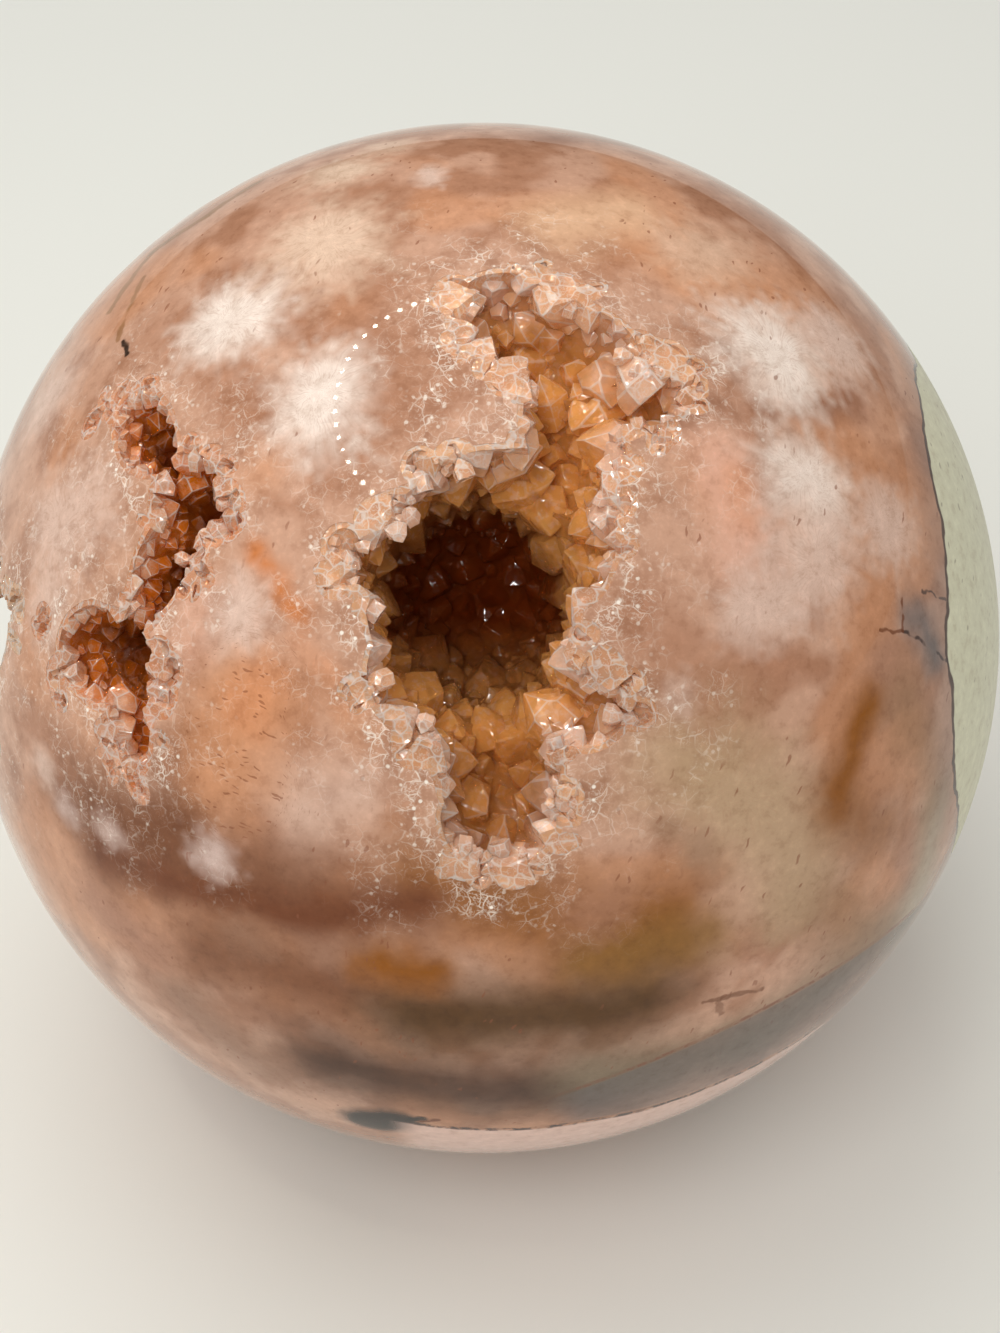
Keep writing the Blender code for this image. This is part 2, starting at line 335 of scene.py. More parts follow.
def crystal_shape(chance):
    """One quartz crystal of radius 1: its corners, its faces, and which of them are its bevelled edges, later
    painted white as frost and painted highlight.
    """
    builder = bmesh.new()
    bmesh.ops.create_cube(builder, size=6.0)
    height = chance.uniform(*CRYSTAL_HEIGHT)
    planes = [(Vector((0, 0, -1)), CRYSTAL_ROOT)]
    for k in range(6):
        angle = math.radians(60 * k + chance.uniform(-5, 5))
        spoke = Vector((math.cos(angle), math.sin(angle), 0))
        planes.append((spoke, chance.uniform(0.72, 0.98)))
        reach = height * (chance.uniform(0.9, 1.0) if k % 2 else chance.uniform(1.0, 1.4))
        slanted = spoke * math.sin(FACE_SLOPE) + Vector((0, 0, math.cos(FACE_SLOPE)))
        planes.append((slanted, reach * math.cos(FACE_SLOPE)))
    for normal, distance in planes:
        geometry = builder.verts[:] + builder.edges[:] + builder.faces[:]
        cut = bmesh.ops.bisect_plane(
            builder, geom=geometry, plane_co=normal * distance, plane_no=normal, clear_outer=True
        )
        edges = [item for item in cut["geom_cut"] if isinstance(item, bmesh.types.BMEdge)]
        if edges:
            bmesh.ops.contextual_create(builder, geom=edges)
    bmesh.ops.remove_doubles(builder, verts=builder.verts, dist=0.02)
    bmesh.ops.dissolve_limit(builder, angle_limit=0.01, verts=builder.verts, edges=builder.edges)
    bevelled = bmesh.ops.bevel(
        builder, geom=builder.edges[:], offset=EDGE_BEVEL, segments=1, affect="EDGES", clamp_overlap=True
    )
    # Bevelled faces, painted white later: partly frost, partly painted highlight on the crystals' edges
    frost_and_glint_faces = set(bevelled["faces"])
    bmesh.ops.recalc_face_normals(builder, faces=builder.faces)
    builder.verts.index_update()
    corners = np.array([vertex.co[:] for vertex in builder.verts])
    faces = [[vertex.index for vertex in face.verts] for face in builder.faces]
    edges = [float(face in frost_and_glint_faces) for face in builder.faces]
    builder.free()
    return corners, faces, edges


def crystal_layers(seats):
    """Deals crystals out into layers in which none touches another."""
    layers = []
    for number, (place, inward, radius) in enumerate(seats):
        span = radius * 1.35
        middle = place + inward * radius * 0.3
        for layer in layers:
            if all((middle - other).length > span + reach for _, other, reach in layer):
                layer.append((number, middle, span))
                break
        else:
            layers.append([(number, middle, span)])
    return [[number for number, _, _ in layer] for layer in layers]


def layer_object(name, numbers, seats, shapes, chance):
    """A layer of crystals in one mesh, with a shade of its own for each and its bevelled edges marked for white
    paint: frost and painted highlight.
    """
    corners, faces, shades, edges = [], [], [], []
    base = 0
    for number in numbers:
        place, inward, radius = seats[number]
        shape_corners, shape_faces, shape_edges = chance.choice(shapes)
        lean = Vector([chance.uniform(-CRYSTAL_LEAN, CRYSTAL_LEAN) for _ in range(3)])
        turn = (inward + lean).to_track_quat("Z", "Y").to_matrix()
        turn = turn @ Matrix.Rotation(chance.uniform(0, math.tau), 3, "Z")
        corners.append(np.array(place) + (shape_corners * radius) @ np.array(turn).T)
        faces += [[base + i for i in face] for face in shape_faces]
        shades += [chance.uniform(0.1, 1.0)] * len(shape_faces)
        edges += shape_edges
        base += len(shape_corners)
    made = mesh_object(name, np.concatenate(corners), faces)
    made.data.attributes.new("shade", "FLOAT", "FACE").data.foreach_set("value", shades)
    made.data.attributes.new("edge", "FLOAT", "FACE").data.foreach_set("value", edges)
    return made


def drop_sealed(target):
    """Removes the separate bodies of an open space that never reach the ball's surface."""
    builder = bmesh.new()
    builder.from_mesh(target.data)
    unseen = set(builder.verts)
    dropped = []
    while unseen:
        queue = [unseen.pop()]
        body = list(queue)
        while queue:
            for edge in queue.pop().link_edges:
                for vertex in edge.verts:
                    if vertex in unseen:
                        unseen.discard(vertex)
                        body.append(vertex)
                        queue.append(vertex)
        if all((vertex.co - CENTRE).length < BALL_RADIUS for vertex in body):
            dropped += body
    bmesh.ops.delete(builder, geom=dropped, context="VERTS")
    builder.to_mesh(target.data)
    builder.free()
    return target


def crust_object(name, face, lobes, rounds, sizes, shapes, chance):
    """The crust of one hollow: a skin on its wall and the crystals on it, polished off with the ball."""
    pockets = {f"pocket_{k}": pocket for k, pocket in enumerate(sum(rounds, []))}
    seats = crystal_seats(face, lobes, sizes, chance)
    seats += crystal_seats(face, pockets, POCKET_SIZES, chance)
    open_space = hollow_solid(f"{name}_open", face, lobes, rounds, CRUST_SKIN)
    for i, numbers in enumerate(crystal_layers(seats)):
        layer = layer_object(f"{name}_layer_{i}", numbers, seats, shapes, chance)
        combine(open_space, layer, "DIFFERENCE")
    crust = hollow_solid(name, face, lobes, rounds, -CRUST_OVERLAP)
    combine(crust, ball_object(f"{name}_ball", BALL_RADIUS - CRUST_RECESS), "INTERSECT")
    combine(crust, drop_sealed(open_space), "DIFFERENCE")
    crust.name = name
    return crust


def finish_mesh(target, polish_radius, materials):
    """Sets a mesh's normals and materials. With two materials, it's painted and its broken faces get the second."""
    mesh = target.data
    points = np.zeros(len(mesh.vertices) * 3)
    mesh.vertices.foreach_get("co", points)
    points = points.reshape(-1, 3)
    outward = points - np.array(CENTRE)
    distance = np.linalg.norm(outward, axis=1)
    outward /= distance[:, None]
    on_ball = np.abs(distance - polish_radius) < 0.012
    mesh.shade_smooth()
    mesh.set_sharp_from_angle(angle=SHARP_ANGLE)
    normals = np.array([corner.vector[:] for corner in mesh.corner_normals])
    kinds = []
    for polygon in mesh.polygons:
        flush = all(on_ball[i] for i in polygon.vertices)
        on_foot = polygon.center.z < 0.001
        shallow = min(distance[i] for i in polygon.vertices) > polish_radius - CHIP_DEPTH
        kinds.append(0 if flush or on_foot or shallow else 1)
        if flush:
            for corner in polygon.loop_indices:
                normals[corner] = outward[mesh.loops[corner].vertex_index]
    mesh.materials.clear()
    for material in materials:
        mesh.materials.append(material)
    if len(materials) == 2:
        paint_agate(mesh, points)
        mesh.polygons.foreach_set("material_index", kinds)
    else:
        mesh.polygons.foreach_set("material_index", [0] * len(kinds))
    mesh.normals_split_custom_set([tuple(normal) for normal in normals])
    mesh.transform(Matrix.Scale(MM, 4))
    mesh.update()


def paint(red, green, blue):
    """A colour given in 0 to 255, as a shader wants it."""
    parts = [part / 255 for part in (red, green, blue)]
    return [p / 12.92 if p < 0.04045 else ((p + 0.055) / 1.055) ** 2.4 for p in parts] + [1.0]


class Nodes:
    """Short ways to write a material's nodes. A value may be a number, a colour or another node's output."""

    def __init__(self, name):
        self.material = bpy.data.materials.new(name)
        self.material.use_nodes = True
        self.tree = self.material.node_tree
        self.shader = self.tree.nodes["Principled BSDF"]
        self.output = self.tree.nodes["Material Output"]

    def feed(self, socket, value):
        if isinstance(value, bpy.types.NodeSocket):
            self.tree.links.new(value, socket)
        else:
            socket.default_value = value

    def node(self, kind, values=(), **settings):
        made = self.tree.nodes.new(kind)
        for name, setting in settings.items():
            setattr(made, name, setting)
        for key, value in dict(values).items():
            self.feed(made.inputs[key], value)
        return made

    def math(self, operation, *values):
        return self.node("ShaderNodeMath", enumerate(values), operation=operation).outputs[0]

    def clamp(self, value):
        return self.node("ShaderNodeClamp", {"Value": value}).outputs[0]

    def vector(self, operation, *values):
        made = self.node("ShaderNodeVectorMath", operation=operation)
        for socket, value in zip(made.inputs, values):
            self.feed(socket, value)
        return made.outputs["Value" if operation in ("DOT_PRODUCT", "LENGTH", "DISTANCE") else "Vector"]

    def scaled(self, vector, amount):
        made = self.node("ShaderNodeVectorMath", {0: vector, "Scale": amount}, operation="SCALE")
        return made.outputs["Vector"]

    def axes(self, vector):
        return self.node("ShaderNodeSeparateXYZ", {0: vector}).outputs

    def step(self, value, low, high):
        """0 where the value is at or past low, 1 at or past high, and smooth between."""
        values = {"Value": value, "From Min": low, "From Max": high}
        return self.node("ShaderNodeMapRange", values, interpolation_type="SMOOTHSTEP").outputs["Result"]

    def mix(self, amount, first, second):
        made = self.node("ShaderNodeMix", data_type="RGBA")
        self.feed(made.inputs["Factor"], amount)
        self.feed(made.inputs[6], first)
        self.feed(made.inputs[7], second)
        return made.outputs[2]

    def noise(self, vector, length, detail=3.0, roughness=0.55, output="Fac"):
        """Noise whose lumps are about as long as given, in millimetres."""
        values = {"Vector": vector, "Scale": 1 / length, "Detail": detail, "Roughness": roughness}
        return self.node("ShaderNodeTexNoise", values).outputs[output]

    def cells(self, vector, length, feature="F1"):
        values = {"Vector": vector, "Scale": 1 / length}
        return self.node("ShaderNodeTexVoronoi", values, feature=feature).outputs

    def colour_attribute(self, name):
        return self.node("ShaderNodeAttribute", attribute_name=name).outputs["Color"]

    def attribute(self, name):
        return self.node("ShaderNodeAttribute", attribute_name=name).outputs["Fac"]

    def bump(self, height, strength, distance):
        values = {"Height": height, "Strength": strength, "Distance": distance * MM}
        return self.node("ShaderNodeBump", values).outputs["Normal"]

    def place(self):
        """Where a point is, in millimetres from the ball's middle: right, up and out of the show face."""
        seen = self.node("ShaderNodeTexCoord").outputs["Object"]
        from_middle = self.vector("SUBTRACT", self.scaled(seen, 1 / MM), tuple(CENTRE))
        turned = {"Vector": from_middle, "Rotation": (TILT - math.pi / 2, 0, 0)}
        return self.node("ShaderNodeMapping", turned).outputs["Vector"]


def on_ball(right, up):
    return Vector((right, up, math.sqrt(BALL_RADIUS**2 - right**2 - up**2)))


# Colours of the stone
TAUPE = paint(202, 157, 132)
ROSE_TAUPE = paint(176, 127, 100)
MAUVE = paint(146, 98, 74)
ROSE = paint(170, 122, 98)
PEACH = paint(206, 146, 108)
CREAM_PEACH = paint(226, 182, 148)
PINK = paint(226, 174, 150)
PINK_WHITE = paint(224, 194, 178)
SALMON = paint(214, 142, 98)
ORANGE = paint(204, 118, 54)
CREAM = paint(234, 204, 180)
BEIGE = paint(188, 156, 124)
BLOOM_WHITE = paint(244, 228, 216)
PETAL_WHITE = paint(226, 208, 200)
LILAC_WHITE = paint(210, 184, 174)
LILAC = paint(162, 126, 100)
RUST = paint(108, 54, 22)
EARTH = paint(118, 70, 42)
DUSK = paint(150, 112, 90)
UMBER = paint(66, 36, 16)
TAN = paint(150, 110, 76)
HONEY = paint(138, 80, 22)
OCHRE = paint(140, 78, 0)
OLIVE = paint(80, 48, 4)
OLIVE_LIGHT = paint(136, 92, 32)
STONE_GREY = paint(134, 116, 94)
PALE_GREY = paint(170, 152, 128)
BLUE_GREY = paint(100, 94, 94)
CELADON = paint(214, 210, 182)
RIND_PINK = paint(226, 190, 176)
SEAM_BROWN = paint(150, 106, 66)
INK = paint(8, 6, 6)
DARK_VEIN = paint(58, 36, 32)
RED_VEIN = paint(122, 70, 50)
NEEDLE = paint(134, 78, 52)
QUARTZ = paint(220, 176, 150)
FROST = paint(250, 238, 224)
QUARTZ_SHADE = paint(216, 158, 122)
# Brown laid in the crevices between crystals as painted shade with some dirt, and towards the hollows' lower ends
CREVICE_AND_LOW_BROWN = paint(150, 84, 34)
WHITE = paint(255, 250, 242)
SHADOW_BROWN = paint(112, 66, 38)

# Soft zones of colour, painted in this order: start and end (right, up), radius, softness, colour, strength
ZONES = {
    "umber_foot": ((-8.8, -24.3), (6.7, -26.0), 3.4, 3.4, UMBER, 0.95),
    "lower_left_earth": ((-15.1, -17.7), (-8.5, -19.1), 3.2, 3.2, EARTH, 0.9),
    "lower_left_dusk": ((-17.3, -20.8), (-13.1, -24.8), 2.0, 2.4, DUSK, 0.8),
    "grey_foot": ((6.6, -24.9), (16.1, -23.5), 2.6, 3.0, STONE_GREY, 0.85),
    "grey_right": ((16.1, -23.1), (23.4, -17.8), 2.8, 3.0, STONE_GREY, 0.85),
    "tan_right": ((17.7, -14.9), (23.6, -18.6), 1.8, 2.6, TAN, 0.75),
    "pale_grey_edge": ((25.5, -17.7), (26.4, -10.6), 1.6, 2.2, PALE_GREY, 0.85),
    "honey_band": ((-3.4, -13.2), (9.0, -15.6), 2.4, 2.6, HONEY, 0.9),
    "olive_band": ((-3.6, -20.8), (8.6, -20.1), 3.0, 2.8, OLIVE, 0.95),
    "olive_light": ((6.3, -17.2), (11.9, -16.9), 1.2, 2.2, OLIVE_LIGHT, 0.8),
    "ochre_spot": ((-6.3, -17.2), (-3.4, -17.8), 1.3, 1.5, OCHRE, 1.0),
    "beige_right": ((11.0, -6.5), (17.5, -12.2), 3.6, 3.4, BEIGE, 0.85),
    "honey_right": ((19.4, -8.9), (22.4, -11.1), 1.6, 2.4, HONEY, 0.7),
    "ochre_right": ((21.2, -4.2), (20.2, -8.1), 1.3, 1.4, OCHRE, 1.0),
    "edge_right": ((23.7, -3.4), (26.2, -9.4), 1.4, 2.4, TAN, 0.6),
    "rose_low_left": ((-22.1, -15.3), (-19.1, -17.5), 1.8, 2.2, ROSE, 0.85),
    "earth_left_wide": ((-21.4, -9.6), (-10.2, -13.2), 2.8, 3.0, EARTH, 0.9),
    "earth_left": ((-15.7, -7.4), (-18.5, -10.9), 2.0, 2.6, EARTH, 0.85),
    "earth_left_low": ((-24.2, -9.2), (-21.2, -13.1), 1.4, 2.2, EARTH, 0.5),
    "rust_left": ((-21.2, -12.6), (-13.4, -14.0), 0.7, 1.8, RUST, 0.9),
    "rust_middle": ((-11.7, -14.2), (-3.5, -14.7), 0.7, 1.8, RUST, 0.9),
    "peach_left": ((-12.8, -3.3), (-14.5, -6.8), 2.6, 2.2, PEACH, 0.95),
    "salmon_left": ((-11.9, -2.2), (-13.1, -4.4), 0.8, 1.6, SALMON, 0.6),
    "rose_low": ((-9.9, -8.6), (-7.4, -8.0), 1.4, 2.0, PINK_WHITE, 0.45),
    "orange_streak": ((-12.5, 4.2), (-9.8, 1.4), 0.3, 1.1, ORANGE, 0.85),
    "orange_streak_low": ((-9.8, -0.1), (-7.4, -3.2), 0.2, 1.4, SALMON, 0.4),
    "left_rose": ((-16.5, -0.1), (-15.9, 2.1), 1.0, 1.8, PINK, 0.5),
    "pink_right": ((12.7, 9.1), (13.9, 5.3), 1.5, 2.0, PINK, 0.9),
    "salmon_right": ((13.6, 8.0), (13.9, 6.4), 0.3, 1.2, SALMON, 0.45),
    "mauve_shadow": ((8.4, 11.5), (21.3, 13.3), 0.5, 1.6, MAUVE, 0.8),
    "tan_top_right": ((8.8, 22.5), (18.1, 19.5), 2.4, 3.2, PEACH, 0.6),
    "mauve_top": ((3.3, 29.7), (13.5, 29.4), 1.2, 2.4, MAUVE, 0.75),
    "peach_top": ((4.2, 23.2), (8.3, 24.6), 1.6, 2.2, CREAM_PEACH, 0.9),
    "mauve_upper_left": ((-19.1, 17.6), (-13.3, 13.0), 0.8, 2.2, ROSE_TAUPE, 0.6),
    "mauve_middle": ((-6.3, 18.6), (-1.8, 14.4), 1.2, 2.4, ROSE_TAUPE, 0.6),
    "mauve_mid_right": ((10.9, -0.1), (12.6, -4.3), 1.2, 2.2, ROSE_TAUPE, 0.7),
    "rim_right_low": ((8.2, 2.0), (9.3, -3.3), 1.2, 2.0, ROSE_TAUPE, 0.8),
    "blue_grey_right": ((24.1, 1.3), (25.7, -0.6), 0.9, 1.5, BLUE_GREY, 0.9),
    "red_patch": ((-21.1, 13.2), (-20.6, 14.0), 0.2, 0.8, SALMON, 0.8),
}

# Blooms: middle (right, up), radius, colour, strength
BLOOMS = {
    "limb_left_upper": (-25.6, 14.4, 3.0, PINK_WHITE, 0.7),
    "limb_left_low": (-28.2, -13.4, 3.0, PINK_WHITE, 0.7),
    "limb_left": (-29.6, 2.6, 2.4, ROSE, 0.5),
    "upper_left": (-13.9, 17.8, 3.8, BLOOM_WHITE, 0.95),
    "upper_middle": (-8.6, 13.2, 3.6, BLOOM_WHITE, 0.9),
    "top_cream": (-8.6, 22.2, 4.4, CREAM, 0.85),
    "near_top": (-8.4, 27.3, 2.8, CREAM, 0.9),
    "top": (-5.2, 29.2, 1.8, CREAM, 0.6),
    "top_small": (-2.5, 26.5, 1.3, PINK_WHITE, 0.9),
    "left": (-23.6, 6.9, 4.6, PINK_WHITE, 0.85),
    "left_low": (-24.6, 2.0, 2.6, PINK_WHITE, 0.7),
    "left_middle": (-13.4, 1.3, 2.4, PINK_WHITE, 0.9),
    "crisp": (-15.1, -11.4, 1.8, LILAC_WHITE, 0.95),
    "trio_first": (-20.9, -11.1, 1.4, LILAC_WHITE, 0.75),
    "trio_second": (-23.4, -10.2, 1.3, LILAC_WHITE, 0.7),
    "trio_third": (-25.0, -7.9, 1.6, PINK_WHITE, 0.7),
    "upper_right": (16.4, 15.6, 4.2, BLOOM_WHITE, 0.95),
    "upper_right_edge": (20.4, 16.4, 3.0, PINK_WHITE, 0.95),
    "right_high": (17.6, 8.3, 3.6, BLOOM_WHITE, 0.85),
    "right_wide": (18.0, 4.2, 3.8, PINK_WHITE, 0.8),
    "right_edge": (22.4, 6.2, 3.2, PINK_WHITE, 0.8),
    "right_middle": (14.6, 1.9, 3.0, PINK_WHITE, 0.8),
    "right_streak": (10.6, -3.4, 1.7, PINK_WHITE, 0.5),
    "right_cream": (13.9, -8.2, 4.4, BEIGE, 0.7),
    "right_foot": (17.0, -15.5, 2.6, BEIGE, 0.5),
    "lilac_first": (11.1, -12.0, 1.5, LILAC, 0.7),
    "lilac_second": (9.4, -10.6, 1.1, LILAC, 0.7),
    "top_right": (12.4, 22.0, 3.4, CREAM, 0.5),
    "low_middle": (6.2, -14.6, 2.2, ROSE, 0.5),
    "low_left": (-13.5, -16.6, 2.2, DUSK, 0.5),
}

# Thin lines across the stone: start and end (right, up), half width, colour, strength
LINES = {
    "seam_top": ((-13.6, 27.4), (-16.4, 25.3), 0.45, SEAM_BROWN, 0.85),
    "seam_middle": ((-16.4, 25.3), (-19.7, 23.4), 0.40, SEAM_BROWN, 0.85),
    "seam_low": ((-19.7, 23.4), (-22.0, 19.4), 0.35, SEAM_BROWN, 0.8),
    "seam_end": ((-20.0, 21.4), (-21.0, 17.4), 0.25, SEAM_BROWN, 0.7),
    "seam_pit": ((-20.6, 17.2), (-20.2, 16.4), 0.18, INK, 0.9),
    "branch_flat": ((22.0, 0.3), (23.6, 0.4), 0.10, RUST, 0.8),
    "branch_slope": ((23.6, 0.4), (26.7, -1.4), 0.10, DARK_VEIN, 0.9),
    "branch_rise": ((23.6, 0.4), (23.4, 2.3), 0.10, RUST, 0.8),
    "branch_upper": ((24.8, 2.7), (26.6, 2.0), 0.09, DARK_VEIN, 0.8),
    "black_spot": ((-6.9, -28.5), (-5.5, -28.4), 1.7, INK, 1.0),
    "black_tail": ((-5.2, -28.3), (-3.8, -28.0), 0.26, INK, 0.9),
    "red_bit": ((-3.8, -28.2), (-3.0, -28.1), 0.22, RUST, 0.9),
    "black_streak_first": ((-11.0, -29.4), (-9.6, -29.7), 0.09, INK, 0.8),
    "black_streak_second": ((-7.6, -30.1), (-5.6, -30.0), 0.09, INK, 0.7),
    "inclusion": ((12.2, -20.5), (15.6, -20.0), 0.16, SHADOW_BROWN, 0.7),
    "inclusion_foot": ((13.1, -20.6), (13.4, -21.4), 0.18, SHADOW_BROWN, 0.55),
}

# The two veins that cut off paler rinds, in millimetres
RIGHT_VEIN_NORMAL = (0.9937, 0.0809, 0.0772)
RIGHT_VEIN_DISTANCE = 28.05
FOOT_VEIN_UP = -28.9
FOOT_VEIN_CURVE = 0.0137
RED_VEIN_NORMAL = (0.3774, -0.9204, -0.1020)
RED_VEIN_DISTANCE = 23.82
VEIN_WIDTH = 0.13

# How blooms are drawn, where needles lie over, and what is scattered where the photograph doesn't reach
FIBRE_WIDTH = 0.12
NEEDLE_TURN = math.radians(18)
PEACH_NEEDLES = ((-13.4, -3.0), (-13.8, -7.6))
HIDDEN_FRONT = 7.0
HIDDEN_BLOOMS = 46
HIDDEN_SEED = 5

STONE_IOR = 1.54
CRYSTAL_IOR = 1.54


def drift(spots, length, amount):
    """Places moved about by noise of the given length, up to the amount each way."""
    moves = np.array([noise.noise_vector(Vector(spot) / length) for spot in spots])
    return spots + moves * amount


def lumps(spots, length, octaves=3):
    """Noise between about 0 and 1 at each place."""
    values = [noise.fractal(Vector(spot) / length, 1.0, 2.0, octaves) for spot in spots]
    return 0.5 + 0.5 * np.array(values)


def smooth_step(values, low, high):
    """0 where a value is at or past low, 1 at or past high, and smooth between."""
    share = np.clip((values - low) / (high - low), 0, 1)
    return share * share * (3 - 2 * share)


def stroke_gap(spots, start, end):
    """How far places are from a straight stroke between two places on the ball."""
    first, last = np.array(on_ball(*start)), np.array(on_ball(*end))
    span = last - first
    offsets = spots - first
    along = np.clip(offsets @ span / max(span @ span, 1e-6), 0, 1)
    return np.linalg.norm(offsets - along[:, None] * span, axis=1)


def blend_in(colours, weights, hue):
    colours += weights[:, None] * (np.array(hue[:3]) - colours)


def bloom_weights(spots, middle, radius):
    """How strongly a bloom shows at each place, feathered by fibres that run out from its middle."""
    offsets = spots - np.array(middle)
    gaps = np.linalg.norm(offsets, axis=1)
    rays = offsets / np.maximum(gaps, 0.001)[:, None]
    weights = np.zeros(len(spots))
    for i in np.flatnonzero(gaps < radius * 1.7):
        fibre = 0.5 + 0.5 * noise.fractal(Vector(rays[i]) / FIBRE_WIDTH, 1.0, 2.0, 2)
        share = (1.3 - gaps[i] / radius * (0.62 + 0.76 * fibre)) / 1.1
        share = min(max(share, 0.0), 1.0)
        weights[i] = share * share * (3 - 2 * share)
    return weights, rays


def hidden_blooms(chance):
    """Blooms scattered over the sides and back, which the photograph doesn't show."""
    found = []
    for direction in spiral_directions(HIDDEN_BLOOMS):
        wander = Vector([chance.uniform(-0.16, 0.16) for _ in range(3)])
        middle = (Vector(direction) + wander).normalized() * BALL_RADIUS
        radius = chance.uniform(1.6, 4.4)
        hue = chance.choice((BLOOM_WHITE, PINK_WHITE, PINK_WHITE, CREAM, PETAL_WHITE, PEACH))
        if middle.z < HIDDEN_FRONT:
            found.append((middle, radius, hue, chance.uniform(0.5, 0.9)))
    return found


def paint_agate(mesh, points):
    """Writes the stone's soft colours on a mesh, with the masks that its finer markings follow."""
    rim = np.full(len(points), np.inf)
    for face, lobes in ((SHOW_FACE, MAIN_HOLLOW), (SHOW_FACE, LEFT_HOLLOW), (LEFT_FACE, SIDE_HOLLOW)):
        rim = np.minimum(rim, -lobe_depth(points, face, lobes))
    spots = (points - np.array(CENTRE)) @ np.array(SHOW_FACE)
    cloud = drift(spots, 7.0, 1.1)
    feather = drift(drift(cloud, 1.6, 0.5), 0.8, 0.25)
    mottle = lumps(cloud, 4.0)
    broad = lumps(cloud, 9.0, 2)
    unseen = smooth_step(spots[:, 2], HIDDEN_FRONT, HIDDEN_FRONT - 6)

    colours = np.tile(np.array(TAUPE[:3]), (len(points), 1))
    blend_in(colours, smooth_step(mottle, 0.62, 0.38), ROSE_TAUPE)
    blend_in(colours, 0.6 * smooth_step(broad, 0.52, 0.68), PEACH)
    blend_in(colours, 0.7 * unseen * smooth_step(lumps(cloud, 12.0, 2), 0.55, 0.7), STONE_GREY)
    blend_in(colours, 0.6 * unseen * smooth_step(lumps(-cloud, 10.0, 2), 0.58, 0.7), HONEY)
    edge = rim + (mottle - 0.5) * 4.0
    patchy = smooth_step(lumps(spots, 2.4, 2), 0.42, 0.6)
    quartz = np.maximum(smooth_step(edge, 3.6, 0.4) * (0.35 + 0.65 * patchy), smooth_step(edge, 8.0, 1.0) * 0.5 * patchy)
    blend_in(colours, 0.45 * smooth_step(edge, 2.8, 0.2), QUARTZ)
    for start, end, radius, soft, hue, strength in ZONES.values():
        gaps = stroke_gap(feather, start, end)
        blend_in(colours, strength * smooth_step(gaps, radius + soft, max(radius - soft, 0.0)), hue)

    blooms = [(on_ball(right, up), *rest) for right, up, *rest in BLOOMS.values()]
    blooms += hidden_blooms(random.Random(HIDDEN_SEED))
    strongest = np.zeros(len(points))
    rays = np.zeros((len(points), 3))
    for middle, radius, hue, strength in blooms:
        weights, outward = bloom_weights(feather, middle, radius)
        weights *= strength
        blend_in(colours, weights, hue)
        stronger = weights > strongest
        strongest[stronger] = weights[stronger]
        rays[stronger] = outward[stronger]

    peach = smooth_step(stroke_gap(cloud, *PEACH_NEEDLES), 4.6, 2.6)
    needles = np.maximum(smooth_step(rim, 1.5, 4.0) * smooth_step(mottle, 0.42, 0.6), peach)

    shades = mesh.attributes.new("tint", "FLOAT_COLOR", "POINT")
    shades.data.foreach_set("color", np.column_stack((colours, np.ones(len(points)))).ravel())
    mesh.attributes.new("bloom_ray", "FLOAT_VECTOR", "POINT").data.foreach_set("vector", rays.ravel())
    for name, values in (("bloom", strongest), ("quartz", quartz), ("peach", peach), ("needles", needles)):
        mesh.attributes.new(name, "FLOAT", "POINT").data.foreach_set("value", values)


def line_weight(g, spot, start, end, width):
    """How strongly a thin straight line between two places on the ball shows at a place."""
    first, last = on_ball(*start), on_ball(*end)
    span = last - first
    offset = g.vector("SUBTRACT", spot, tuple(first))
    along = g.clamp(g.math("MULTIPLY", g.vector("DOT_PRODUCT", offset, tuple(span)), 1 / span.length_squared))
    nearest = g.node("ShaderNodeVectorMath", {0: tuple(span), "Scale": along}, operation="SCALE")
    gap = g.vector("DISTANCE", offset, nearest.outputs["Vector"])
    return g.step(gap, width * 1.5, width * 0.6)


